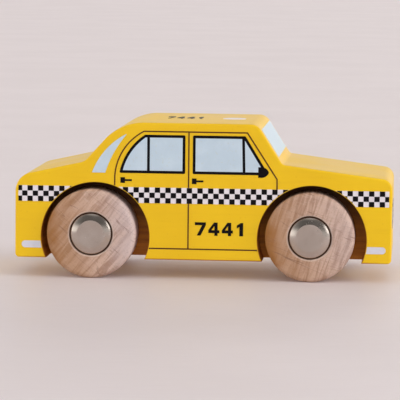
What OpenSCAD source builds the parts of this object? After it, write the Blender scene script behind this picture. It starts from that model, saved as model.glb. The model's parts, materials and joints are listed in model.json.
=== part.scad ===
// Push-along wooden toy taxi, in millimetres.
// Origin: on the ground, below the middle of the body. +X is the front, +Z is up, -Y is the right side.

/* [Body] */
// Length of the wooden block
body_length = 150.5; // [146.5:0.5:156]
// Width of the wooden block across both sides
body_width = 62; // [58:1:68]
// Height of the underside above the ground
ground_clearance = 7.6; // [6.8:0.1:8.8]
// Height of the belt line above the ground, at the feet of both screens
belt_height = 46.5; // [45.8:0.1:48.6]
// Height of the cabin above the belt line
cabin_height = 15.9; // [15:0.1:18]
// Rounding of the long edges along both sides
edge_round = 0.8; // [0.6:0.1:1.5]
// Corner radius at both ends of the underside
bottom_corner = 1.6; // [1.5:0.1:3]

/* [Profile] */
// Drop of the boot line from the belt line to the tail
boot_drop = 6.2; // [5:0.1:7]
// Distance of the foot of the back window behind the middle
back_foot_reach = 47.5; // [46.9:0.1:48.3]
// Distance of the rear corner of the roof behind the middle
roof_rear_reach = 33.2; // [32.5:0.1:34.3]
// Distance of the front corner of the roof ahead of the middle
roof_front_reach = 21.4; // [20.8:0.1:22]
// Distance of the foot of the windscreen ahead of the middle
cowl_reach = 31.6; // [31:0.1:33]
// Drop of the bonnet line from the belt line to the nose
bonnet_drop = 5.5; // [4.6:0.1:6.4]
// Corner radius between tail and boot
tail_radius = 7.5; // [6:0.5:10]
// Hollow radius at the foot of the back window
back_foot_radius = 5.6; // [5:0.2:11]
// Radius between back window and roof
roof_rear_radius = 21.4; // [17:0.2:24]
// Radius between roof and windscreen
roof_front_radius = 5; // [3:0.2:6]
// Hollow radius at the foot of the windscreen
cowl_radius = 2.2; // [1.4:0.2:5]
// Corner radius between bonnet and nose
nose_radius = 4.4; // [3.4:0.2:8]

/* [Wheels] */
// Diameter of the wheels
wheel_diameter = 35.6; // [34:0.1:36]
// Thickness of the wheels
wheel_thickness = 16; // [13:0.1:16.6]
// Rounding of the wheel edges
wheel_edge_round = 2; // [1:0.1:3.5]
// How far the wheels stand out beyond the side of the block
wheel_stand_out = 3; // [2.4:0.1:4.5]
// Diameter of the recess for the cap
recess_diameter = 17.4; // [17:0.1:19]
// Depth of the recess for the cap
recess_depth = 3; // [2.4:0.1:4]
// Chamfer around the mouth of the recess
recess_ease = 0.5; // [0.3:0.1:0.8]
// Distance from the nose back to the front axle
nose_to_axle = 32.35; // [31:0.05:34]
// Distance from the tail forward to the rear axle
tail_to_axle = 30.85; // [30:0.05:33]

/* [Wheel pockets] */
// Radius of the pockets beyond that of the wheels
pocket_gap = 3.9; // [3.3:0.05:4.4]
// Depth of the pockets from the side
pocket_depth = 15; // [14.2:0.1:17]
// Rounding of the mouths of the pockets
pocket_ease = 0.4; // [0.3:0.1:0.8]
// How far the pocket centres lie below the axles
pocket_drop = 1.3; // [0.8:0.1:1.8]
// How far the front pocket centres lie ahead of the front axle
front_pocket_lead = 0.7; // [0:0.1:1.6]
// How far the rear pocket centres lie ahead of the rear axle
rear_pocket_lead = 1.4; // [0:0.1:1.6]

/* [Axles and caps] */
// Diameter of the axle rods
axle_diameter = 5; // [4:0.1:6]
// Diameter of the axle caps
cap_diameter = 16.1; // [15.4:0.1:16.6]
// Height of the axle caps
cap_height = 3.7; // [3.2:0.1:4.5]
// Diameter of the flat face of the axle caps
cap_face = 11; // [10:0.1:12]
// Height of the straight rim of the axle caps
cap_rim = 2.2; // [2:0.1:2.5]
// Radius of the curved shoulder of the axle caps
cap_shoulder = 7.8; // [5:0.1:9]
// Thickness of the end wall of the caps
cap_wall = 1; // [0.8:0.1:1.4]
// Side play between cap and wheel
cap_play = 0.4; // [0.3:0.1:0.8]
// Radial clearance of axles in the block and of wheels on the axles
running_clearance = 0.06; // [0.04:0.01:0.1]

/* [Check band] */
// Thickness of one printed layer
film = 0.1; // [0.08:0.01:0.15]
// Distance of the middle of the check band below the belt line
band_drop = 13.05; // [12.7:0.05:13.5]
// Length of one check
check_length = 2.13; // [2.1:0.01:2.16]
// Height of one check
check_height = 2.1; // [2:0.01:2.2]
// Number of rows of checks
check_rows = 3; // [2:1:3]
// Hairline left between neighbouring black checks
check_gap = 0.04; // [0.02:0.01:0.1]
// Bare strip between the tail and the band
band_tail_margin = 1.3; // [1.2:0.1:2.5]
// Bare strip between the nose and the band
band_nose_margin = 1.2; // [1.2:0.1:2.5]

/* [Side windows] */
// Distance of the lower edge of the window outlines below the belt line
window_sill_drop = 4.3; // [3.9:0.1:4.7]
// Distance of the upper edge of the window outlines below the roof
window_head_drop = 4.8; // [4.6:0.1:5.4]
// Stroke of the window outlines
frame_stroke = 1.1; // [0.7:0.05:1.2]
// Distance of the rear window's lower rear corner behind the middle
rear_window_foot = 33.4; // [32.9:0.1:33.6]
// Distance of the rear window's upper rear corner behind the middle
rear_window_crown = 23.3; // [22.9:0.1:23.7]
// Distance of the rear window's front edge behind the middle
rear_window_front = 7.1; // [6.9:0.1:7.9]
// Radius of the rear window's curved edge
rear_window_sweep = 24.2; // [23.5:0.1:26]
// Distance of the rear window's bar behind the middle
rear_bar_reach = 21.8; // [21.4:0.1:22.2]
// Distance of the front window's rear edge behind the middle
front_window_rear = 4.1; // [3.2:0.05:4.2]
// Distance of the front window's upper front corner ahead of the middle
front_window_crown = 16.8; // [16.4:0.1:17.2]
// Distance of the front window's lower front corner ahead of the middle
front_window_foot = 26.3; // [25.8:0.1:26.6]
// Distance of the top of the front window's bar ahead of the middle
front_bar_reach = 16; // [15.6:0.1:16.2]
// How far the foot of the front window's bar stands ahead of its top
front_bar_lean = 0.4; // [0:0.1:0.8]
// Distance of the quarter light's lower rear corner behind the middle
quarter_foot = 44.4; // [44:0.1:44.6]
// Distance of the quarter light's lower front corner behind the middle
quarter_heel = 39.1; // [38.8:0.1:39.4]
// Distance of the quarter light's tip behind the middle
quarter_tip = 30.7; // [30.4:0.1:31]
// Distance of the quarter light's tip below the roof
quarter_tip_drop = 4.6; // [4.5:0.1:4.9]
// Height of the blunt end of the quarter light's tip
quarter_tip_blunt = 0.3; // [0.2:0.05:0.5]
// Outer radius of the quarter light
quarter_outer_sweep = 28.7; // [28:0.1:30]
// Inner radius of the quarter light
quarter_inner_sweep = 44.3; // [43:0.1:46]

/* [Doors] */
// Stroke of the door lines
door_stroke = 0.52; // [0.4:0.02:0.6]
// Distance of the upper door line below the roof
door_head_drop = 3.2; // [2.9:0.1:3.5]
// Height of the lower door line above the underside
door_foot_rise = 4.3; // [3.6:0.1:5]
// Distance of the rear door line behind the middle
door_rear = 35.5; // [35.3:0.1:35.7]
// Distance below the belt line at which the rear door line starts to curve
door_sweep_drop = 5.5; // [5.1:0.1:5.9]
// Distance of the upper rear door corner behind the middle
door_rear_crown = 23.7; // [23.4:0.1:24]
// Radius of the curved rear door line
door_sweep = 22; // [21.8:0.1:22.6]
// Distance of the line between the doors behind the middle
door_middle = 5.7; // [5.4:0.1:5.9]
// Distance of the upper front door corner ahead of the middle
door_front_crown = 17.7; // [17.5:0.1:18]
// Distance of the front door line ahead of the middle
door_front = 29.8; // [29.5:0.1:30.1]
// Distance below the belt line at which the front door line starts to slant
door_slant_drop = 5.8; // [5.3:0.1:6.3]
// Length of the head of a door handle
handle_head = 1.8; // [1.5:0.05:2]
// Height of the head of a door handle
handle_head_height = 2.25; // [1.8:0.05:2.5]
// Length of the grip of a door handle
handle_grip = 2.75; // [2:0.05:3.2]
// Thickness of the grip of a door handle
handle_stroke = 0.75; // [0.5:0.05:0.9]
// Distance of the door handles below the belt line
handle_drop = 7.15; // [6.8:0.05:7.5]
// Distance of the rear handle behind the middle
rear_handle_reach = 32.95; // [32.6:0.05:33.2]
// Distance of the front handle behind the middle
front_handle_reach = 4.35; // [4.1:0.05:4.5]
// Distance of the mirror's flat edge ahead of the middle
mirror_reach = 22; // [21.6:0.1:22.4]
// Distance of the middle of the mirror below the belt line
mirror_drop = 3.2; // [3:0.1:3.8]
// Height of the mirror
mirror_size = 4.2; // [3.6:0.1:4.6]
// Length of the mirror's straight part
mirror_straight = 1.4; // [1.2:0.1:1.8]
// Radius of the two curved edges of the mirror's tip
mirror_sweep = 3; // [2.6:0.1:3.6]

/* [Bumpers] */
// Height of the bumper bars above the underside
bumper_rise = 4; // [3.4:0.1:4.8]
// Height of a bumper bar
bumper_bar = 2.8; // [2.2:0.1:3.2]
// Bare strip between the tail and the rear bumper bar
bumper_tail_margin = 2.7; // [1.8:0.1:3]
// Bare strip between the nose and the front bumper bar
bumper_nose_margin = 2.3; // [1.8:0.1:3]

/* [Number] */
// Width of one digit of the cab number
digit_width = 4.4; // [3.8:0.1:4.8]
// Height of one digit of the cab number
digit_height = 5.3; // [5:0.1:6]
// Distance from one digit to the next
digit_pitch = 5.4; // [5:0.1:5.6]
// Distance from the line between the doors to the number
number_gap = 2.7; // [2:0.1:3.5]
// How far the number sits below the middle of the free door panel
number_sink = 0.75; // [0:0.05:1.5]
// Distance of the roof number's rear end behind the middle
roof_number_reach = 17.2; // [16:0.1:18]
// Sideways position of the middle of the roof number
roof_number_shift = 2; // [0:0.5:5]
// Width of one digit of the roof number
roof_digit_width = 2.9; // [2.4:0.1:3.2]
// Height of one digit of the roof number
roof_digit_height = 11; // [9:0.5:12]
// Distance from one digit of the roof number to the next
roof_digit_pitch = 4.1; // [3.8:0.1:4.4]
// Diameter of the pale disc on the roof
roof_disc_diameter = 9.4; // [8:0.2:12]
// Distance of the roof disc ahead of the middle
roof_disc_reach = 10.3; // [9:0.1:11]

/* [Screens and lamps] */
// Bare strip between the right side and the printed windscreen
windscreen_right_margin = 4.5; // [3:0.5:8]
// Bare strip between the left side and the printed windscreen
windscreen_left_margin = 2.5; // [2.5:0.5:8]
// Bare strip between each side and the printed back window
back_window_margin = 6; // [3:0.5:9]
// Diameter of the printed headlamps
headlamp_diameter = 9; // [7:0.5:10]
// Distance of the lamps from the middle of the width
lamp_reach = 21; // [19:0.5:22]
// Distance of the lamps below the end of the bonnet line
lamp_drop = 16; // [14:0.5:18]
// Width of the printed grille
grille_width = 26; // [22:1:28]
// Number of grille bars
grille_bars = 5; // [3:1:6]
// Height of one grille bar
grille_bar = 1.1; // [0.8:0.1:1.4]
// Distance from one grille bar to the next
grille_pitch = 2.2; // [1.8:0.1:2.4]
// Width of a printed tail lamp
tail_lamp_width = 6; // [4:0.5:7]
// Height of a printed tail lamp
tail_lamp_height = 9; // [7:0.5:10]

/* [Hidden] */
$fn = 64;

// Overrun of every cut
over = axle_diameter;
band_half = check_rows * check_height / 2;
roof_height = belt_height + cabin_height;
boot_height = belt_height - boot_drop;
bonnet_height = belt_height - bonnet_drop;
lamp_height = bonnet_height - lamp_drop;
half_length = body_length / 2;
half_width = body_width / 2;
axle_height = wheel_diameter / 2;
front_axle_x = half_length - nose_to_axle;
rear_axle_x = tail_to_axle - half_length;
pocket_diameter = wheel_diameter + 2 * pocket_gap;
pocket_height = axle_height - pocket_drop;
pocket_floor = half_width - pocket_depth;
mouth_diameter = pocket_diameter + 2 * pocket_ease;
front_pocket_x = front_axle_x + front_pocket_lead;
rear_pocket_x = rear_axle_x + rear_pocket_lead;
band_height = belt_height - band_drop;
window_sill = belt_height - window_sill_drop;
door_sweep_height = belt_height - door_sweep_drop;
door_slant_height = belt_height - door_slant_drop;
handle_height = belt_height - handle_drop;
mirror_height = belt_height - mirror_drop;
bumper_height = ground_clearance + bumper_rise;
door_foot = ground_clearance + door_foot_rise;
number_height = (door_foot + band_height - band_half - digit_height) / 2 - number_sink;
window_head = roof_height - window_head_drop;
door_head = roof_height - door_head_drop;
quarter_tip_height = roof_height - quarter_tip_drop;
wheel_face = half_width + wheel_stand_out;
cap_foot = wheel_face - recess_depth + cap_play;
axle_half = cap_foot + cap_height - cap_wall;
bore_diameter = axle_diameter + 2 * running_clearance;

// Steps of the edge rounding
round_steps = 5;

// Corners of the side profile, seen from the right side, and their radii
corners = [
  [-half_length, ground_clearance],
  [half_length, ground_clearance],
  [half_length, bonnet_height],
  [cowl_reach, belt_height],
  [roof_front_reach, roof_height],
  [-roof_rear_reach, roof_height],
  [-back_foot_reach, belt_height],
  [-half_length, boot_height]
];
radii = [
  bottom_corner, bottom_corner, nose_radius, cowl_radius,
  roof_front_radius, roof_rear_radius, back_foot_radius, tail_radius
];
// Steps of each corner
arc_steps = [4, 4, 14, 8, 12, 20, 8, 16];

function unit(v) = v / norm(v);
function left(v) = [-v[1], v[0]];
function side(a, b) = sign(a[0] * b[1] - a[1] * b[0]);
function turned(v, t) = [v[0] * cos(t) - v[1] * sin(t), v[0] * sin(t) + v[1] * cos(t)];
function way_in(p, i) = unit(p[i] - p[(i + len(p) - 1) % len(p)]);
function way_out(p, i) = unit(p[(i + 1) % len(p)] - p[i]);

// An outline with every edge moved inwards by d
function inset(p, d) = [
  for (i = [0:len(p) - 1])
    let (a = left(way_in(p, i)), b = left(way_out(p, i)))
      p[i] + d * (a + b) / (1 + a * b)
];

// Points along corner i, rounded with radius r in n steps
function corner(p, i, r, n) =
  let (
    a = way_in(p, i),
    b = way_out(p, i),
    s = side(a, b),
    t = acos(a * b),
    start = p[i] - a * r * tan(t / 2),
    mid = start + left(a) * r * s
  )
  [for (k = [0:n]) mid + turned(start - mid, s * t * k / n)];

// The side profile with its edge moved inwards by d
function profile(d) =
  let (p = inset(corners, d))
  [
    for (i = [0:len(p) - 1])
      let (s = side(way_in(p, i), way_out(p, i)))
        each corner(p, i, radii[i] - s * d, arc_steps[i])
  ];

// Centre of the circle of radius r through a and b, to the right of the way from a to b
function sweep_centre(a, b, r) =
  let (h = norm(b - a) / 2)
  (a + b) / 2 - left(unit(b - a)) * sqrt(r * r - h * h);

// Ring positions across the width: [y, inset]
rings = [
  for (k = [0:round_steps])
    let (t = 90 - 90 * k / round_steps)
      [-half_width + edge_round * (1 - sin(t)), edge_round * (1 - cos(t))]
];
all_rings = concat(
  rings,
  [for (k = [round_steps:-1:0]) [-rings[k][0], rings[k][1]]]
);

module rounded_block() {
  outlines = [for (r = all_rings) [for (q = profile(r[1])) [q[0], r[0], q[1]]]];
  n = len(outlines[0]);
  m = len(outlines);
  walls = [
    for (j = [0:m - 2])
      for (i = [0:n - 1])
        [j * n + i, j * n + (i + 1) % n, (j + 1) * n + (i + 1) % n, (j + 1) * n + i]
  ];
  hubs = [for (y = [-half_width, half_width]) [0, y, (ground_clearance + belt_height) / 2]];
  near_end = [for (i = [0:n - 1]) [m * n, (i + 1) % n, i]];
  far_end = [for (i = [0:n - 1]) [m * n + 1, (m - 1) * n + i, (m - 1) * n + (i + 1) % n]];
  polyhedron(concat([for (o = outlines) each o], hubs), concat(near_end, far_end, walls));
}

// A disc lying across the car, from y0 to y1
module across(x, z, diameter, y0, y1) {
  translate([x, y1, z])
    rotate([90, 0, 0])
      cylinder(d = diameter, h = y1 - y0);
}

// The room cut for a wheel in the right side, at x
module pocket(x) {
  translate([x, -pocket_floor, pocket_height])
    rotate([90, 0, 0])
      rotate_extrude() {
        square([pocket_diameter / 2, pocket_depth + over]);
        translate([pocket_diameter / 2, pocket_depth - pocket_ease])
          difference() {
            square([pocket_ease, pocket_ease + over]);
            translate([pocket_ease, 0])
              circle(r = pocket_ease);
          }
      }
}

module body_block() {
  color([0.9, 0.72, 0.15])
    difference() {
      rounded_block();
      for (x = [front_pocket_x, rear_pocket_x]) {
        pocket(x);
        mirror([0, 1, 0])
          pocket(x);
      }
      for (x = [front_axle_x, rear_axle_x])
        across(x, axle_height, bore_diameter, -pocket_floor - over, pocket_floor + over);
    }
}

module axle(x) {
  color([0.7, 0.7, 0.72])
    across(x, axle_height, axle_diameter, -axle_half, axle_half);
}

// Half section of a disc with both edges rounded
module rounded_section(radius, thickness, low_round, high_round) {
  union() {
    translate([0, low_round])
      square([radius, thickness - low_round - high_round]);
    square([radius - low_round, thickness]);
    translate([0, low_round])
      square([radius - high_round, thickness - low_round]);
    intersection() {
      translate([radius - low_round, low_round])
        circle(r = low_round);
      square([radius, thickness - high_round]);
    }
    intersection() {
      translate([radius - high_round, thickness - high_round])
        circle(r = high_round);
      translate([0, low_round])
        square([radius, thickness - low_round]);
    }
  }
}

// A turned piece on the right side at x, with its foot at distance y from the middle
module turned_at(x, y) {
  translate([x, -y, axle_height])
    rotate([90, 0, 0])
      rotate_extrude()
        children();
}

module wheel(x) {
  color([0.8, 0.65, 0.5])
    turned_at(x, wheel_face - wheel_thickness)
      difference() {
        rounded_section(wheel_diameter / 2, wheel_thickness, wheel_edge_round, wheel_edge_round);
        square([bore_diameter / 2, wheel_thickness]);
        translate([0, wheel_thickness - recess_depth])
          square([recess_diameter / 2, recess_depth]);
        translate([recess_diameter / 2, wheel_thickness])
          polygon([[0, 0], [0, -recess_ease], [recess_ease, 0]]);
      }
}

cap_centre = sweep_centre([cap_face / 2, cap_height], [cap_diameter / 2, cap_rim], cap_shoulder);

module cap(x) {
  color([0.75, 0.75, 0.75])
    turned_at(x, cap_foot)
      difference() {
        union() {
          square([cap_diameter / 2, cap_rim]);
          square([cap_face / 2, cap_height]);
          intersection() {
            square([cap_diameter / 2, cap_height]);
            translate(cap_centre)
              circle(r = cap_shoulder);
          }
        }
        square([axle_diameter / 2, cap_height - cap_wall]);
      }
}

// Printed layers on the two sides, lifted by a number of layers
module on_right(lift) {
  translate([0, -half_width - lift * film, 0])
    rotate([90, 0, 0])
      linear_extrude(film)
        clear_of_pockets()
          children();
}

module on_left(lift) {
  translate([0, half_width + (lift + 1) * film, 0])
    rotate([90, 0, 0])
      linear_extrude(film)
        clear_of_pockets()
          children();
}

module clear_of_pockets() {
  difference() {
    children();
    pocket_mouths();
  }
}

module pocket_mouths() {
  translate([front_pocket_x, pocket_height])
    circle(d = mouth_diameter);
  translate([rear_pocket_x, pocket_height])
    circle(d = mouth_diameter);
}

band_tail = -half_length + band_tail_margin;
band_nose = half_length - band_nose_margin;
number_start = number_gap - door_middle;

module band_strip() {
  translate([band_tail, band_height - band_half])
    square([band_nose - band_tail, 2 * band_half]);
}

module check_squares() {
  first = ceil(band_tail / check_length) - 1;
  last = floor(band_nose / check_length);
  for (row = [0:check_rows - 1])
    for (n = [first:last])
      if (abs(n + row) % 2 == 1) {
        x0 = max(n * check_length, band_tail) + check_gap / 2;
        x1 = min((n + 1) * check_length, band_nose) - check_gap / 2;
        if (x1 - x0 > check_gap)
          translate([x0, band_height - band_half + row * check_height + check_gap / 2])
            square([x1 - x0, check_height - check_gap]);
      }
}

rear_foot = [-rear_window_foot, window_sill];
rear_crown = [-rear_window_crown, window_head];
rear_centre = sweep_centre(rear_foot, rear_crown, rear_window_sweep);

// A straight stroke of a window frame from a to b, with round ends
module stroke(a, b) {
  way = b - a;
  translate(a)
    rotate(atan2(way[1], way[0]))
      translate([0, -frame_stroke / 2])
        square([norm(way), frame_stroke]);
  for (q = [a, b])
    translate(q)
      circle(d = frame_stroke);
}

front_window_points = [
  [-front_window_rear, window_sill],
  [front_window_foot, window_sill],
  [front_window_crown, window_head],
  [-front_window_rear, window_head]
];

// Middle line of the frames
frame_low = window_sill + frame_stroke / 2;
frame_high = window_head - frame_stroke / 2;
frame_sweep = rear_window_sweep - frame_stroke / 2;

// Point of the rear window's curved middle line at height z
function on_sweep(z) = [
  rear_centre[0] - sqrt(pow(frame_sweep, 2) - pow(z - rear_centre[1], 2)), z
];

module window_bars() {
  stroke([-rear_bar_reach, frame_low], [-rear_bar_reach, frame_high]);
  stroke([front_bar_reach + front_bar_lean, frame_low], [front_bar_reach, frame_high]);
}

module rear_frame() {
  front_x = -rear_window_front - frame_stroke / 2;
  stroke(on_sweep(frame_low), [front_x, frame_low]);
  stroke([front_x, frame_low], [front_x, frame_high]);
  stroke([front_x, frame_high], on_sweep(frame_high));
  difference() {
    intersection() {
      translate([-rear_window_foot - over, frame_low])
        square([rear_window_foot + over - rear_window_front, frame_high - frame_low]);
      translate(rear_centre)
        circle(r = rear_window_sweep);
    }
    translate(rear_centre)
      circle(r = rear_window_sweep - frame_stroke);
  }
}

module front_frame() {
  points = inset(front_window_points, frame_stroke / 2);
  for (i = [0:len(points) - 1])
    stroke(points[i], points[(i + 1) % len(points)]);
}

door_sweep_start = [-door_rear, door_sweep_height];
door_sweep_end = [-door_rear_crown, door_head];
door_centre = sweep_centre(door_sweep_start, door_sweep_end, door_sweep);
quarter_centre = sweep_centre(
  [-quarter_foot, window_sill], [-quarter_tip, quarter_tip_height], quarter_outer_sweep
);

quarter_inner_centre = sweep_centre(
  [-quarter_heel, window_sill],
  [-quarter_tip, quarter_tip_height - quarter_tip_blunt],
  quarter_inner_sweep
);

module quarter_light() {
  difference() {
    intersection() {
      translate(quarter_centre)
        circle(r = quarter_outer_sweep);
      translate([-quarter_foot - over, window_sill])
        square([quarter_foot - quarter_tip + over, quarter_tip_height - window_sill]);
    }
    translate(quarter_inner_centre)
      circle(r = quarter_inner_sweep);
  }
}

module mirror_shape() {
  translate([mirror_reach, mirror_height - mirror_size / 2])
    square([mirror_straight, mirror_size]);
  translate([mirror_reach + mirror_straight, mirror_height])
    intersection() {
      translate([0, -mirror_size / 2])
        square([mirror_sweep, mirror_size]);
      translate([0, mirror_size / 2 - mirror_sweep])
        circle(r = mirror_sweep);
      translate([0, mirror_sweep - mirror_size / 2])
        circle(r = mirror_sweep);
    }
}

module rear_pane() {
  length = rear_window_foot + over - rear_window_front - frame_stroke;
  intersection() {
    translate([-rear_window_foot - over, window_sill + frame_stroke])
      square([length, window_head - window_sill - 2 * frame_stroke]);
    translate(rear_centre)
      circle(r = rear_window_sweep - frame_stroke);
  }
}

module window_panes() {
  difference() {
    union() {
      rear_pane();
      polygon(inset(front_window_points, frame_stroke));
    }
    window_bars();
    mirror_shape();
  }
  quarter_light();
}

module window_frames() {
  difference() {
    union() {
      rear_frame();
      front_frame();
      window_bars();
    }
    mirror_shape();
  }
}

door_front_points = [
  [-door_rear, door_foot],
  [door_front, door_foot],
  [door_front, door_slant_height],
  [door_front_crown, door_head],
  [-door_rear, door_head]
];

// Outline of both doors, inset by d
module doors(d) {
  difference() {
    polygon(inset(door_front_points, d));
    difference() {
      translate([-door_rear - over, door_sweep_height])
        square([door_rear - door_rear_crown + over, door_head - door_sweep_height + over]);
      translate(door_centre)
        circle(r = door_sweep - d);
    }
  }
}

module door_lines() {
  difference() {
    union() {
      difference() {
        doors(0);
        doors(door_stroke);
      }
      translate([-door_middle - door_stroke / 2, door_foot])
        square([door_stroke, door_head - door_foot]);
    }
    band_strip();
  }
}

module handles() {
  for (x = [-rear_handle_reach, -front_handle_reach]) {
    translate([x, handle_height - handle_head_height / 2])
      square([handle_head, handle_head_height]);
    translate([x, handle_height - handle_stroke / 2])
      square([handle_head + handle_grip, handle_stroke]);
  }
}

// A bar from the pocket centre at x0 to the middle of its round end at x1
module bumper_bar_shape(x0, x1) {
  translate([min(x0, x1), bumper_height])
    square([abs(x1 - x0), bumper_bar]);
  translate([x1, bumper_height + bumper_bar / 2])
    circle(d = bumper_bar);
}

module bumper_bars() {
  bumper_bar_shape(front_pocket_x, half_length - bumper_nose_margin - bumper_bar / 2);
  bumper_bar_shape(rear_pocket_x, bumper_tail_margin + bumper_bar / 2 - half_length);
}

// Outlines of the digits, in shares of the width and height of a digit
one_shares = [[0.36, 0], [0.7, 0], [0.7, 1], [0.48, 1], [0.12, 0.8], [0.12, 0.58], [0.36, 0.7]];
four_shares = [
  [0.5, 1], [0.84, 1], [0.84, 0.42], [1, 0.42], [1, 0.2], [0.84, 0.2],
  [0.84, 0], [0.55, 0], [0.55, 0.2], [0, 0.2], [0, 0.42]
];
four_eye_shares = [[0.55, 0.42], [0.55, 0.74], [0.28, 0.42]];
seven_shares = [[0, 1], [1, 1], [1, 0.8], [0.52, 0], [0.18, 0], [0.66, 0.78], [0, 0.78]];
number_length = 3 * digit_pitch + digit_width;

// A digit of the given width and height, less an eye
module digit(shares, eye_shares, width, height) {
  scale([width, height])
    difference() {
      polygon(shares);
      if (len(eye_shares) > 0)
        polygon(eye_shares);
    }
}

module number(width, height, pitch) {
  digit(seven_shares, [], width, height);
  for (k = [1, 2])
    translate([k * pitch, 0])
      digit(four_shares, four_eye_shares, width, height);
  translate([3 * pitch, 0])
    digit(one_shares, [], width, height);
}

module door_number() {
  number(digit_width, digit_height, digit_pitch);
}

// A layer on the straight slope from corner i to corner j, between two shares of its length
module on_slope(i, j, from_share, to_share, right_margin, left_margin) {
  a = corners[i];
  b = corners[j];
  reach = norm(b - a);
  translate([a[0], right_margin - half_width, a[1]])
    rotate([0, -atan2(b[1] - a[1], b[0] - a[0]), 0])
      translate([reach * from_share, 0, -film])
        cube([reach * (to_share - from_share), body_width - right_margin - left_margin, film]);
}

windscreen_low_share = 0.17;
windscreen_high_share = 0.85;
back_window_low_share = 0.45;
back_window_high_share = 0.87;

module windscreen() {
  color([0.85, 0.9, 0.95])
    on_slope(
      3, 4, windscreen_low_share, windscreen_high_share,
      windscreen_right_margin, windscreen_left_margin
    );
}

module back_window() {
  color([0.75, 0.82, 0.9])
    on_slope(
      5, 6, back_window_low_share, back_window_high_share,
      back_window_margin, back_window_margin
    );
}

module roof_number() {
  color([0.1, 0.08, 0.08])
    translate([-roof_number_reach, roof_number_shift - roof_digit_height / 2, roof_height])
      linear_extrude(film)
        number(roof_digit_width, roof_digit_height, roof_digit_pitch);
}

module roof_disc() {
  color([0.95, 0.93, 0.9])
    translate([roof_disc_reach, 0, roof_height])
      cylinder(d = roof_disc_diameter, h = film);
}

// A layer on the nose or the tail
module on_nose() {
  translate([half_length, 0, 0])
    rotate([90, 0, 90])
      linear_extrude(film)
        children();
}

module on_tail() {
  translate([-half_length - film, 0, 0])
    rotate([90, 0, 90])
      linear_extrude(film)
        children();
}

module headlamps() {
  color([0.85, 0.85, 0.88])
    on_nose()
      for (s = [-1, 1])
        translate([s * lamp_reach, lamp_height])
          circle(d = headlamp_diameter);
}

grille_foot = lamp_height - ((grille_bars - 1) * grille_pitch + grille_bar) / 2;

module grille() {
  color([0.3, 0.3, 0.32])
    on_nose()
      for (k = [0:grille_bars - 1])
        translate([-grille_width / 2, grille_foot + k * grille_pitch])
          square([grille_width, grille_bar]);
}

module tail_lamps() {
  color([0.75, 0.12, 0.1])
    on_tail()
      for (s = [-1, 1])
        translate([s * lamp_reach - tail_lamp_width / 2, lamp_height - tail_lamp_height / 2])
          square([tail_lamp_width, tail_lamp_height]);
}

black = [0.08, 0.06, 0.07];
white = [0.93, 0.9, 0.91];
blue = [0.75, 0.82, 0.9];
brown = [0.4, 0.22, 0.05];
grey = [0.84, 0.84, 0.87];

module front_axle() {
  axle(front_axle_x);
}

module rear_axle() {
  axle(rear_axle_x);
}

module wheel_front_right() {
  wheel(front_axle_x);
}

module wheel_front_left() {
  mirror([0, 1, 0])
    wheel(front_axle_x);
}

module wheel_rear_right() {
  wheel(rear_axle_x);
}

module wheel_rear_left() {
  mirror([0, 1, 0])
    wheel(rear_axle_x);
}

module cap_front_right() {
  cap(front_axle_x);
}

module cap_front_left() {
  mirror([0, 1, 0])
    cap(front_axle_x);
}

module cap_rear_right() {
  cap(rear_axle_x);
}

module cap_rear_left() {
  mirror([0, 1, 0])
    cap(rear_axle_x);
}

module check_base_right() {
  color(white)
    on_right(0)
      band_strip();
}

module check_base_left() {
  color(white)
    on_left(0)
      band_strip();
}

module check_squares_right() {
  color(black)
    on_right(1)
      check_squares();
}

module check_squares_left() {
  color(black)
    on_left(1)
      check_squares();
}

module window_panes_right() {
  color(blue)
    on_right(0)
      window_panes();
}

module window_panes_left() {
  color(blue)
    on_left(0)
      window_panes();
}

module window_frames_right() {
  color(black)
    on_right(0)
      window_frames();
}

module window_frames_left() {
  color(black)
    on_left(0)
      window_frames();
}

module door_lines_right() {
  color(brown)
    on_right(0)
      door_lines();
}

module door_lines_left() {
  color(brown)
    on_left(0)
      door_lines();
}

module handles_right() {
  color(black)
    on_right(0)
      handles();
}

module handles_left() {
  color(black)
    on_left(0)
      handles();
}

module mirror_right() {
  color(black)
    on_right(0)
      mirror_shape();
}

module mirror_left() {
  color(black)
    on_left(0)
      mirror_shape();
}

module bumper_bars_right() {
  color(grey)
    on_right(0)
      bumper_bars();
}

module bumper_bars_left() {
  color(grey)
    on_left(0)
      bumper_bars();
}

module number_right() {
  color(black)
    on_right(0)
      translate([number_start, number_height])
        door_number();
}

module number_left() {
  color(black)
    on_left(0)
      translate([number_start + number_length, number_height])
        mirror([1, 0])
          door_number();
}

body_block();
front_axle();
rear_axle();
wheel_front_right();
wheel_front_left();
wheel_rear_right();
wheel_rear_left();
cap_front_right();
cap_front_left();
cap_rear_right();
cap_rear_left();
check_base_right();
check_base_left();
check_squares_right();
check_squares_left();
window_panes_right();
window_panes_left();
window_frames_right();
window_frames_left();
door_lines_right();
door_lines_left();
handles_right();
handles_left();
mirror_right();
mirror_left();
bumper_bars_right();
bumper_bars_left();
number_right();
number_left();
windscreen();
back_window();
roof_number();
roof_disc();
headlamps();
grille();
tail_lamps();
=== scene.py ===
import json
import math

import bmesh
import bpy
from mathutils import Matrix, Vector


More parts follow.
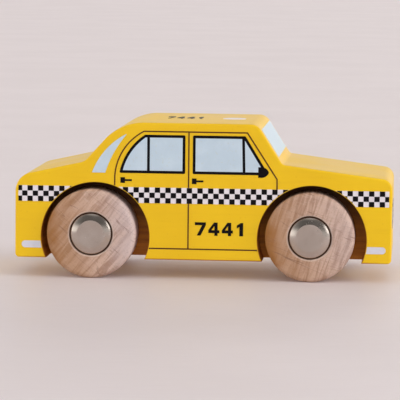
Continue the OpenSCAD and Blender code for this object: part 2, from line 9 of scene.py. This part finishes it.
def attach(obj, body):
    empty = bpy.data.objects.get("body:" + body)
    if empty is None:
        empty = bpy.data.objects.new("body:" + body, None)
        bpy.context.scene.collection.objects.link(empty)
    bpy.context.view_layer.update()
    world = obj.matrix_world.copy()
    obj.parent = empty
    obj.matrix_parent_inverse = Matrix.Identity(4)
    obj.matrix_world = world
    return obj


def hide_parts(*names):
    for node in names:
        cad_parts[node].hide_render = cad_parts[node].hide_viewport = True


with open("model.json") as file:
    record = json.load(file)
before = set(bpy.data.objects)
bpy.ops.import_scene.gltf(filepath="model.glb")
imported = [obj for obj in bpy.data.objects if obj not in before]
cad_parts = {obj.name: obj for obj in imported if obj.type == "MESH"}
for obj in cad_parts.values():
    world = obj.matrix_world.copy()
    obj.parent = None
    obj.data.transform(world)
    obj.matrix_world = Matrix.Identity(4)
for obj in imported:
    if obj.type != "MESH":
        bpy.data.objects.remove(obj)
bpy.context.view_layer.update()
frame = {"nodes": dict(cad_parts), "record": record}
NODES = frame["nodes"]
scene = bpy.context.scene
scene.view_settings.view_transform = "Standard"

MM = 0.001

# The block as in the part's source, in millimetres: x to the front, z up
HALF_LENGTH, HALF_WIDTH = 75.25, 31.0
CLEARANCE, BELT, ROOF = 7.6, 46.5, 62.4
NOSE_TOP, TAIL_TOP = BELT - 5.5, BELT - 6.2
EDGE, EDGE_STEPS = 0.8, 9
# Corners of the side profile: x, z, corner radius, steps round the corner
CORNERS = [
    (-HALF_LENGTH, CLEARANCE, 1.6, 6),
    (HALF_LENGTH, CLEARANCE, 1.6, 6),
    (HALF_LENGTH, NOSE_TOP, 4.4, 20),
    (31.6, BELT, 2.2, 10),
    (21.4, ROOF, 5.0, 16),
    (-33.2, ROOF, 21.4, 32),
    (-47.5, BELT, 5.6, 12),
    (-HALF_LENGTH, TAIL_TOP, 7.5, 24),
]

# Axle lines, wheel pockets, axle bores and the recess in a wheel's face; steps are round the circle
AXLE_Z = 17.8
AXLES = {"front": 42.9, "rear": -44.4}
POCKET_XS, POCKET_Z, POCKET_R, POCKET_FLOOR = (43.6, -43.0), 16.5, 21.7, 16.0
POCKET_EASE, EASE_STEPS, POCKET_STEPS = 0.4, 6, 160
BORE_R, BORE_REACH, BORE_STEPS = 2.56, 20.0, 64
RECESS_R = 8.7
# A cutter's reach past the block's side, the radius of its closed tip, and the room for rounding
CUT_PAST, TIP_R, SLACK = 4.0, 0.0001, 0.01
# Edges sharper than this stay sharp, in degrees; a face counts as level from this height of its normal
SHARP_FROM, LEVEL_FROM = 40, 0.999

# The camera fitted to the photograph's check grid and block edges, in metres and degrees
CAMERA_DISTANCE, CAMERA_AIM = 1.0685, (-0.001065, -0.031, 0.031906)
CAMERA_YAW, CAMERA_PITCH, CAMERA_ROLL = 4.609, 5.594, 0.609
PX_PER_M, PICTURE_PX, SENSOR_MM = 2513.0, 400.0, 36.0
CLIP_NEAR, CLIP_FAR = 0.05, 60.0

# Colours as they look, 0 to 255. A pair is mixed by a noise.
PAINT = {
    "base": ((236, 188, 6), (241, 195, 10)),
    "grain": (222, 170, 6),
    "speck": (210, 156, 10),
    # Paler edge tone: partly thin paint, partly a painted highlight along the rounded edges
    "worn": (244, 210, 80),
    "pocket": ((206, 128, 42), (178, 104, 34)),
    # Painted shade for the top of the wheel pockets
    "pocket_top": (52, 20, 10),
}
BEECH = {
    "streaks": ((203, 170, 151), (164, 127, 105)),
    "fleck": (216, 194, 182),
    "pale": (208, 192, 194),
    # Heartwood tone, which also paints shade and yellow bounce on one side of a wheel
    "heart": (166, 118, 72),
    # Painted shade on the rim at the heartwood side
    "bark": (150, 96, 40),
    "rays": (112, 76, 60),
    "pores": (140, 102, 80),
    # Painted highlight on the eased edge round the recess
    "eased": (238, 218, 204),
    # Painted shade inside the recess round the cap
    "recess": (104, 64, 42),
}
# Inks: the pair of colours, roughness, gloss
INKS = {
    "white_ink": ((236, 228, 232), (230, 221, 226), 0.42, 0.3),
    "black_ink": ((9, 6, 10), (15, 11, 15), 0.4, 0.12),
    "pale_blue_ink": ((192, 208, 221), (199, 214, 226), 0.41, 0.3),
    "brown_ink": ((80, 38, 6), (92, 46, 10), 0.45, 0.3),
    "grey_ink": ((216, 214, 224), (208, 206, 217), 0.42, 0.3),
    "dark_grey_ink": ((62, 62, 68), (72, 71, 76), 0.45, 0.3),
    "red_ink": ((176, 26, 20), (164, 22, 18), 0.4, 0.3),
}
UNDER_INK, UNDER_SHARE = (205, 160, 50), 0.3
FLOOR = {"base": ((224, 218, 220), (228, 222, 224)), "fibre": (190, 174, 168)}
# Metals and light, as linear colours
PLATING = ((0.525, 0.455, 0.397, 1), (0.6, 0.527, 0.47, 1))
ROD_STEEL = ((0.48, 0.47, 0.46, 1), (0.62, 0.61, 0.6, 1))
FLOOR_GLOW, GLOW_SHARE = (0.78, 0.46, 0.38, 1), 0.12
WORLD_COLOUR = (1.0, 0.985, 0.975, 1)

# Each wheel's wood: turn of the grain, side of the heartwood and its painted shade, place in the pattern,
# share of grey
WOODS = {
    "rear_right": (0.87, 3.25, 0.0, 0.65),
    "front_right": (1.25, 3.3, 1.7, 0.3),
    "rear_left": (4.1, 1.0, 2.9, 0.4),
    "front_left": (5.3, 4.6, 4.3, 0.5),
}

# Soft suns, named as the photo sees them: direction towards the light, strength, angle in degrees,
# and whether metal and gloss mirror the sun
SUNS = {
    "right": ((0.9, -0.2, 0.4), 1.05, 30, False),
    "glint": ((0.9, -0.2, 0.4), 0.4, 30, True),
    "left": ((-0.92, -0.25, 0.25), 0.6, 34, False),
    "rear": ((0.1, 0.96, 0.22), 1.4, 22, False),
    "front": ((0.25, -0.9, 0.4), 1.26, 80, False),
}
FLOOR_REACH = 15.0


def place_camera():
    """Puts the fitted camera in the scene."""
    yaw, pitch, roll = (math.radians(a) for a in (CAMERA_YAW, CAMERA_PITCH, CAMERA_ROLL))
    back = Vector((math.sin(yaw) * math.cos(pitch),
                   -math.cos(yaw) * math.cos(pitch), math.sin(pitch)))
    level = Vector((math.cos(yaw), math.sin(yaw), 0.0))
    upright = back.cross(level)
    right = math.cos(roll) * level + math.sin(roll) * upright
    up = -math.sin(roll) * level + math.cos(roll) * upright
    cam = bpy.data.objects.new("camera", bpy.data.cameras.new("camera"))
    scene.collection.objects.link(cam)
    pose = Matrix((right, up, back)).transposed().to_4x4()
    pose.translation = Vector(CAMERA_AIM) + back * CAMERA_DISTANCE
    cam.matrix_world = pose
    cam.data.sensor_width = SENSOR_MM
    cam.data.lens = PX_PER_M * CAMERA_DISTANCE / PICTURE_PX * SENSOR_MM
    cam.data.clip_start = CLIP_NEAR
    cam.data.clip_end = CLIP_FAR
    scene.camera = cam


def lin(r, g, b):
    """A colour as it looks, 0 to 255, as the linear colour that a shader takes."""
    def f(c):
        c = c / 255.0
        return c / 12.92 if c <= 0.04045 else ((c + 0.055) / 1.055) ** 2.4
    return (f(r), f(g), f(b), 1.0)


class Net:
    """Shorthand for building a node material."""

    def __init__(self, name):
        self.mat = bpy.data.materials.new(name)
        self.mat.use_nodes = True
        self.tree = self.mat.node_tree
        self.bsdf = self.tree.nodes["Principled BSDF"]
        self.coords = self.node("ShaderNodeTexCoord").outputs["Object"]

    def node(self, kind, **settings):
        n = self.tree.nodes.new(kind)
        for key, value in settings.items():
            setattr(n, key, value)
        return n

    def put(self, socket, value):
        if isinstance(value, bpy.types.NodeSocket):
            self.tree.links.new(value, socket)
        else:
            socket.default_value = value

    def mapping(self, location=(0, 0, 0), rotation=(0, 0, 0), scale=(1, 1, 1), vector=None):
        n = self.node("ShaderNodeMapping")
        self.put(n.inputs["Vector"], vector or self.coords)
        n.inputs["Location"].default_value = location
        n.inputs["Rotation"].default_value = rotation
        n.inputs["Scale"].default_value = scale
        return n.outputs["Vector"]

    def part(self, vector, axis):
        n = self.node("ShaderNodeSeparateXYZ")
        self.put(n.inputs[0], vector)
        return n.outputs[axis]

    def length(self, vector):
        n = self.node("ShaderNodeVectorMath", operation="LENGTH")
        self.put(n.inputs[0], vector)
        return n.outputs["Value"]

    def noise(self, scale, vector=None, detail=3.0, rough=0.55, distortion=0.0):
        n = self.node("ShaderNodeTexNoise")
        self.put(n.inputs["Vector"], vector or self.coords)
        n.inputs["Scale"].default_value = scale
        n.inputs["Detail"].default_value = detail
        n.inputs["Roughness"].default_value = rough
        n.inputs["Distortion"].default_value = distortion
        return n.outputs["Fac"]

    def smooth(self, value, low, high, at_low=0.0, at_high=1.0):
        """A smooth step from at_low, where the value is low, to at_high, where it is high."""
        n = self.node("ShaderNodeMapRange", interpolation_type="SMOOTHSTEP")
        self.put(n.inputs["Value"], value)
        limits = {"From Min": low, "From Max": high, "To Min": at_low, "To Max": at_high}
        for key, v in limits.items():
            n.inputs[key].default_value = v
        return n.outputs["Result"]

    def math(self, operation, a, b=0.0):
        n = self.node("ShaderNodeMath", operation=operation)
        self.put(n.inputs[0], a)
        self.put(n.inputs[1], b)
        return n.outputs[0]

    def mix(self, factor, a, b):
        n = self.node("ShaderNodeMix", data_type="RGBA")
        self.put(n.inputs[0], factor)
        self.put(n.inputs[6], a)
        self.put(n.inputs[7], b)
        return n.outputs[2]

    def blend(self, factor, one, other):
        return self.mix(factor, lin(*one), lin(*other))

    def tint(self, colour, mask, share, rgb):
        """The colour with up to that share of another one where the mask is 1."""
        return self.mix(self.math("MULTIPLY", mask, share), colour, lin(*rgb))

    def attribute(self, name):
        return self.node("ShaderNodeAttribute", attribute_name=name).outputs["Fac"]

    def bump(self, height, strength, distance, normal=None):
        n = self.node("ShaderNodeBump")
        n.inputs["Strength"].default_value = strength
        n.inputs["Distance"].default_value = distance
        self.put(n.inputs["Height"], height)
        if normal:
            self.put(n.inputs["Normal"], normal)
        return n.outputs["Normal"]

    def shade(self, **values):
        for key, value in values.items():
            self.put(self.bsdf.inputs[key.replace("_", " ")], value)
        return self.mat


def yellow_paint():
    """Satin yellow lacquer over wood: faint grain, cloudy depth, paler edges as thin paint and as a
    painted highlight.
    """
    n = Net("yellow_paint")
    cloud = n.noise(26.0, detail=2.0)
    grain = n.noise(1.0, n.mapping(scale=(34, 520, 520)), detail=4.0, distortion=0.4)
    peel = n.noise(1500.0, detail=1.0)
    speck = n.smooth(n.noise(900.0, detail=0.0), 0.74, 0.8)
    # Paler rounded edges, partly thin paint and partly a painted highlight, broken up in patches
    wear_and_highlight_patches = n.smooth(n.noise(160.0, detail=4.0), 0.35, 0.7, 0.25, 0.75)
    edge_wear_and_highlight = n.math("MULTIPLY", n.attribute("edge"), wear_and_highlight_patches)
    col = n.blend(n.smooth(cloud, 0.3, 0.7), *PAINT["base"])
    col = n.tint(col, n.smooth(grain, 0.45, 0.75), 0.16, PAINT["grain"])
    col = n.tint(col, speck, 0.2, PAINT["speck"])
    col = n.tint(col, edge_wear_and_highlight, 0.3, PAINT["worn"])
    # Browner colour in the wheel pockets, with painted shade darkening it towards the top
    pocket = n.attribute("pocket")
    fibres = n.noise(1.0, n.mapping(scale=(60, 60, 700)), detail=3.0)
    # Painted shade: the pocket colour darkens towards the top of the pocket
    high = n.smooth(n.part(n.coords, "Z"), 14 * MM, 36 * MM)
    pocket_tone = n.blend(n.smooth(fibres, 0.35, 0.7), *PAINT["pocket"])
    pocket_tone = n.tint(pocket_tone, high, 0.88, PAINT["pocket_top"])
    col = n.mix(pocket, col, pocket_tone)
    rough = n.math("ADD", n.smooth(cloud, 0.3, 0.7, 0.33, 0.41), n.math("MULTIPLY", pocket, 0.3))
    normal = n.bump(grain, 0.05, 0.4 * MM, n.bump(peel, 0.06, 0.2 * MM))
    return n.shade(Base_Color=col, Roughness=rough, Normal=normal, Specular_IOR_Level=0.35)


def beech(name, x, turn, heart_and_shade_side, seed, grey):
    """Sanded end grain of beech: growth streaks, hairline rays across them, heartwood to one side, where
    an orange tone and a darker rim are painted shade and yellow bounce.
    """
    n = Net(name)
    local = n.mapping(location=(-x * MM, 0, -AXLE_Z * MM))
    spun = n.mapping(rotation=(0, turn, 0), vector=local)

    def grain(scale, place=(0, 0, 0), **settings):
        return n.noise(1.0, n.mapping(location=place, scale=scale, vector=spun), **settings)

    cloud = n.noise(95.0, n.mapping(location=(seed, 0, 0), vector=spun), detail=2.0)
    streaks = grain((70, 5, 620), (seed, 0, seed), detail=2.0, distortion=0.5)
    streaks = n.smooth(streaks, 0.38, 0.66)
    # Rays are thin lines where a stretched noise crosses its middle, broken up by patches
    line = grain((420, 5, 26), (seed, 0, 2), detail=1.0)
    line = n.math("ABSOLUTE", n.math("SUBTRACT", line, 0.5))
    patch = n.smooth(grain((210, 5, 70), (2 + seed, 0, 5), detail=1.0), 0.43, 0.58)
    rays = n.math("MULTIPLY", n.smooth(line, 0.002, 0.013, 1.0, 0.0), patch)
    fleck = n.smooth(grain((1300, 5, 240), (3 * seed, 0, 1)), 0.5, 0.75)
    pores = n.smooth(grain((2600, 40, 2600), detail=0.0), 0.66, 0.78)
    # Distance across the wheel towards the heartwood side, where shade is painted
    across = n.part(n.mapping(rotation=(0, heart_and_shade_side, 0), vector=local), "X")
    across = n.math("ADD", across, n.math("MULTIPLY", cloud, 12 * MM))
    pale = n.smooth(across, -12 * MM, 4 * MM, 1.0, 0.0)
    # Painted shade: an orange heartwood tone and a darker rim on one side of the wheel
    heart = n.smooth(across, 2 * MM, 22 * MM)
    bark = n.smooth(across, 16.5 * MM, 23.5 * MM)
    # The recess, darkened as painted shade, and the eased edge round it, paler as a painted highlight
    radius = n.length(n.mapping(scale=(1, 0, 1), vector=local))
    outside = n.smooth(radius, (RECESS_R - 0.04) * MM, (RECESS_R + 0.04) * MM)
    recess = n.math("SUBTRACT", 1.0, outside)
    near = n.smooth(radius, (RECESS_R + 0.45) * MM, (RECESS_R + 0.65) * MM, 1.0, 0.0)
    eased = n.math("MULTIPLY", outside, near)

    col = n.blend(streaks, *BEECH["streaks"])
    layers = {"fleck": (fleck, 0.3), "pale": (pale, grey), "heart": (heart, 0.7), "bark": (bark, 0.85),
              "rays": (rays, 0.55), "pores": (pores, 0.3), "eased": (eased, 0.4), "recess": (recess, 0.9)}
    for tone, (mask, share) in layers.items():
        col = n.tint(col, mask, share, BEECH[tone])
    hollows = n.math("ADD", rays, n.math("MULTIPLY", pores, 0.5))
    height = n.math("SUBTRACT", n.math("MULTIPLY", streaks, 0.3), hollows)
    return n.shade(Base_Color=col, Roughness=n.smooth(cloud, 0.3, 0.7, 0.52, 0.66),
                   Normal=n.bump(height, 0.12, 0.3 * MM), Specular_IOR_Level=0.35)


def cap_metal(name, x):
    """Plated pressed steel: fine turned rings, faint scuffs, small changes of polish."""
    n = Net(name)
    radius = n.length(n.mapping(location=(-x * MM, 0, -AXLE_Z * MM), scale=(1, 0, 1)))
    rings = n.node("ShaderNodeTexNoise", noise_dimensions="1D")
    n.put(rings.inputs["W"], radius)
    rings.inputs["Scale"].default_value = 2600.0
    rings.inputs["Detail"].default_value = 2.0
    scuff = n.smooth(n.noise(420.0, detail=4.0, distortion=1.2), 0.55, 0.8)
    cloud = n.noise(150.0, detail=2.0)
    col = n.mix(n.smooth(cloud, 0.3, 0.7), *PLATING)
    rough = n.math("ADD", n.smooth(cloud, 0.3, 0.7, 0.16, 0.24), n.math("MULTIPLY", scuff, 0.12))
    return n.shade(Base_Color=col, Metallic=1.0, Roughness=rough,
                   Normal=n.bump(rings.outputs["Fac"], 0.05, 0.1 * MM))


def axle_steel():
    """Drawn rod: fine lines along its length."""
    n = Net("axle_steel")
    lines = n.noise(1.0, n.mapping(scale=(4000, 30, 4000)), detail=2.0)
    return n.shade(Base_Color=n.mix(lines, *ROD_STEEL), Metallic=1.0,
                   Roughness=n.smooth(lines, 0.3, 0.7, 0.28, 0.42),
                   Normal=n.bump(lines, 0.08, 0.1 * MM))


def ink(name, rgb, other, rough, gloss):
    """Screen-printed ink: slightly uneven cover, pinholes, a fine tooth."""
    n = Net(name)
    cover = n.noise(210.0, detail=4.0)
    pinholes = n.smooth(n.noise(1400.0, detail=0.0), 0.72, 0.82)
    tooth = n.noise(2300.0, detail=1.0)
    thin = [(1 - UNDER_SHARE) * a + UNDER_SHARE * b for a, b in zip(rgb, UNDER_INK)]
    col = n.blend(n.smooth(cover, 0.35, 0.7), rgb, other)
    col = n.tint(col, pinholes, 0.22, thin)
    return n.shade(Base_Color=col, Roughness=n.smooth(cover, 0.3, 0.7, rough - 0.05, rough + 0.06),
                   Normal=n.bump(tooth, 0.05, 0.1 * MM), Specular_IOR_Level=gloss)


def left(v):
    return Vector((-v.y, v.x))


def profile(inset):
    """The block's side profile with its edge moved inwards by the inset, in millimetres."""
    pts = [Vector(c[:2]) for c in CORNERS]
    ways = [(pts[(i + 1) % len(pts)] - p).normalized() for i, p in enumerate(pts)]
    out = []
    for i, (_, _, radius, steps) in enumerate(CORNERS):
        a, b = ways[i - 1], ways[i]
        la, lb = left(a), left(b)
        corner = pts[i] + inset * (la + lb) / (1 + la.dot(lb))
        sense = 1.0 if a.cross(b) > 0 else -1.0
        r = radius - sense * inset
        turn = math.acos(max(-1.0, min(1.0, a.dot(b))))
        start = corner - a * r * math.tan(turn / 2)
        centre = start + la * r * sense
        arm = start - centre
        for k in range(steps + 1):
            w = sense * turn * k / steps
            out.append(centre + Vector((arm.x * math.cos(w) - arm.y * math.sin(w),
                                        arm.x * math.sin(w) + arm.y * math.cos(w))))
    return out


def mesh_object(name, bm):
    bmesh.ops.recalc_face_normals(bm, faces=bm.faces)
    me = bpy.data.meshes.new(name)
    bm.to_mesh(me)
    bm.free()
    obj = bpy.data.objects.new(name, me)
    scene.collection.objects.link(obj)
    return obj


def lathe(section, x, z, side, steps):
    """A solid turned about the axle line at x, z from (radius, distance out) points."""
    bm = bmesh.new()
    rows = []
    for k in range(steps):
        w = 2 * math.pi * k / steps
        c, s = math.cos(w), math.sin(w)
        rows.append([bm.verts.new(((x + r * c) * MM, side * y * MM, (z + r * s) * MM))
                     for r, y in section])
    for k in range(steps):
        a, b = rows[k], rows[(k + 1) % steps]
        for i in range(len(section) - 1):
            bm.faces.new((a[i], b[i], b[i + 1], a[i + 1]))
    bm.faces.new([row[0] for row in rows])
    bm.faces.new([row[-1] for row in rows])
    return mesh_object("cutter", bm)


def block_form():
    """The plain block: the profile carried across the width, long edges rounded."""
    bm = bmesh.new()
    rings = []
    for k in range(EDGE_STEPS + 1):
        t = math.pi / 2 * (1 - k / EDGE_STEPS)
        rings.append((-HALF_WIDTH + EDGE * (1 - math.sin(t)), EDGE * (1 - math.cos(t))))
    rings += [(-y, inset) for y, inset in reversed(rings)]
    loops = [[bm.verts.new((p.x * MM, y * MM, p.y * MM)) for p in profile(inset)]
             for y, inset in rings]
    count = len(loops[0])
    for a, b in zip(loops, loops[1:]):
        for i in range(count):
            j = (i + 1) % count
            bm.faces.new((a[i], a[j], b[j], b[i]))
    for loop, y in ((loops[0], -HALF_WIDTH), (loops[-1], HALF_WIDTH)):
        hub = bm.verts.new((0, y * MM, (CLEARANCE + BELT) / 2 * MM))
        for i in range(count):
            bm.faces.new((hub, loop[i], loop[(i + 1) % count]))
    return mesh_object("block_form", bm)


def cutters():
    """The forms of the wheel pockets, with their eased mouths, and of the axle bores."""
    section = [(TIP_R, POCKET_FLOOR), (POCKET_R, POCKET_FLOOR), (POCKET_R, HALF_WIDTH - POCKET_EASE)]
    for k in range(1, EASE_STEPS + 1):
        w = math.pi / 2 * k / EASE_STEPS
        section.append((POCKET_R + POCKET_EASE * (1 - math.cos(w)),
                        HALF_WIDTH - POCKET_EASE * (1 - math.sin(w))))
    out = HALF_WIDTH + CUT_PAST
    section += [(section[-1][0], out), (TIP_R, out)]
    bore = [(BORE_R, -BORE_REACH), (BORE_R, BORE_REACH)]
    return ([lathe(section, x, POCKET_Z, side, POCKET_STEPS) for x in POCKET_XS for side in (-1, 1)]
            + [lathe(bore, x, AXLE_Z, 1, BORE_STEPS) for x in AXLES.values()])


def body_mesh():
    """The painted block with its wheel pockets and axle bores, finer than the solid."""
    block = block_form()
    tools = cutters()
    for tool in tools:
        cut = block.modifiers.new("cut", "BOOLEAN")
        cut.operation = "DIFFERENCE"
        cut.solver = "EXACT"
        cut.object = tool
    bpy.context.view_layer.update()
    done = block.evaluated_get(bpy.context.evaluated_depsgraph_get())
    me = bpy.data.meshes.new_from_object(done)
    for obj in tools + [block]:
        old = obj.data
        bpy.data.objects.remove(obj)
        bpy.data.meshes.remove(old)
    me.name = "painted_block"
    piece = bpy.data.objects.new("painted_block", me)
    scene.collection.objects.link(piece)
    mark_block(me)
    me.shade_smooth()
    me.set_sharp_from_angle(angle=math.radians(SHARP_FROM))
    weighted = piece.modifiers.new("weighted", "WEIGHTED_NORMAL")
    weighted.keep_sharp = True
    return piece


def mark_block(me):
    """Face-corner masks: edge on the rounded edges, pocket inside the wheel pockets."""
    edge = me.attributes.new("edge", "FLOAT", "CORNER")
    pocket = me.attributes.new("pocket", "FLOAT", "CORNER")
    for poly in me.polygons:
        upright = abs(poly.normal.z) < LEVEL_FROM
        for corner in poly.loop_indices:
            x, y, z = (c / MM for c in me.vertices[me.loops[corner].vertex_index].co)
            y = abs(y)
            t = (y - HALF_WIDTH + EDGE) / EDGE
            edge.data[corner].value = math.sin(math.pi * t) if 0.0 < t < 1.0 else 0.0
            reach = min(math.hypot(x - px, z - POCKET_Z) for px in POCKET_XS)
            inside = reach < POCKET_R + POCKET_EASE + SLACK and y > POCKET_FLOOR - SLACK
            depth = (HALF_WIDTH - y) / (POCKET_EASE / 2)
            pocket.data[corner].value = max(0.0, min(1.0, depth)) if inside and upright else 0.0


def dress():
    """Gives every node its material and puts the finer block in the place of body_block."""
    looks = {name: ink(name, *values) for name, values in INKS.items()}
    looks["axle_steel"] = axle_steel()
    looks["yellow_paint"] = yellow_paint()
    caps = {end: cap_metal("cap_metal_" + end, x) for end, x in AXLES.items()}
    for row in frame["record"]["subparts"]:
        name, slot = row["node"], row["material_slot"]
        if slot == "beech":
            where = name.replace("wheel_", "")
            look = beech("beech_" + where, AXLES[where.split("_")[0]], *WOODS[where])
        elif slot == "cap_metal":
            look = caps[name.split("_")[1]]
        else:
            look = looks[slot]
        mesh = NODES[name].data
        mesh.materials.clear()
        mesh.materials.append(look)
    block = body_mesh()
    block.data.materials.clear()
    block.data.materials.append(looks["yellow_paint"])
    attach(block, "body")
    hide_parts("body_block")


def floor():
    """A plain pale floor. Its faint warm glow shows only to the eye and in reflections."""
    bm = bmesh.new()
    bmesh.ops.create_grid(bm, x_segments=2, y_segments=2, size=FLOOR_REACH)
    obj = mesh_object("floor", bm)
    n = Net("floor")
    soft = n.noise(9.0, detail=3.0)
    fibre = n.noise(1.0, n.mapping(scale=(60, 900, 900)), detail=3.0)
    col = n.blend(n.smooth(soft, 0.3, 0.7), *FLOOR["base"])
    col = n.tint(col, n.smooth(fibre, 0.5, 0.8), 0.06, FLOOR["fibre"])
    n.shade(Base_Color=col, Roughness=n.smooth(fibre, 0.3, 0.7, 0.46, 0.54), Specular_IOR_Level=0.4)
    glow = n.node("ShaderNodeEmission")
    glow.inputs["Color"].default_value = FLOOR_GLOW
    rays = n.node("ShaderNodeLightPath").outputs
    seen = n.math("ADD", rays["Is Camera Ray"], rays["Is Glossy Ray"])
    seen = n.math("ADD", seen, rays["Is Transmission Ray"])
    both = n.node("ShaderNodeMixShader")
    n.put(both.inputs[0], n.math("MULTIPLY", seen, GLOW_SHARE))
    n.put(both.inputs[1], n.bsdf.outputs[0])
    n.put(both.inputs[2], glow.outputs[0])
    n.put(n.tree.nodes["Material Output"].inputs["Surface"], both.outputs[0])
    obj.data.materials.append(n.mat)


def lights():
    """A soft room, brighter on the car's left and behind its tail, and the soft suns."""
    world = bpy.data.worlds.new("world")
    scene.world = world
    world.use_nodes = True
    tree = world.node_tree
    way = tree.nodes.new("ShaderNodeSeparateXYZ")
    tree.links.new(tree.nodes.new("ShaderNodeTexCoord").outputs["Generated"], way.inputs[0])
    x, y, z = (way.outputs[axis] for axis in "XYZ")

    def grade(value, low, high, at_low, at_high):
        n = tree.nodes.new("ShaderNodeMapRange")
        n.interpolation_type = "SMOOTHSTEP"
        tree.links.new(value, n.inputs["Value"])
        limits = {"From Min": low, "From Max": high, "To Min": at_low, "To Max": at_high}
        for key, v in limits.items():
            if isinstance(v, bpy.types.NodeSocket):
                tree.links.new(v, n.inputs[key])
            else:
                n.inputs[key].default_value = v
        return n.outputs["Result"]

    front = grade(z, 0.15, 0.45, 0.66, 0.16)
    front_and_top = grade(z, 0.86, 0.97, front, 0.62)
    rear = grade(z, 0.05, 0.5, 0.94, 0.46)
    level = grade(y, -0.45, 0.2, front_and_top, rear)
    side = grade(x, -0.95, -0.45, 2.2, 1.0)
    product = tree.nodes.new("ShaderNodeMath")
    product.operation = "MULTIPLY"
    tree.links.new(level, product.inputs[0])
    tree.links.new(side, product.inputs[1])
    background = tree.nodes["Background"]
    background.inputs["Color"].default_value = WORLD_COLOUR
    tree.links.new(product.outputs[0], background.inputs["Strength"])

    for name, (towards, strength, angle, mirrored) in SUNS.items():
        light = bpy.data.lights.new(name, "SUN")
        light.energy = strength
        light.angle = math.radians(angle)
        obj = bpy.data.objects.new(name, light)
        scene.collection.objects.link(obj)
        obj.rotation_euler = Vector(towards).to_track_quat("Z", "Y").to_euler()
        obj.visible_glossy = mirrored


place_camera()
dress()
floor()
lights()
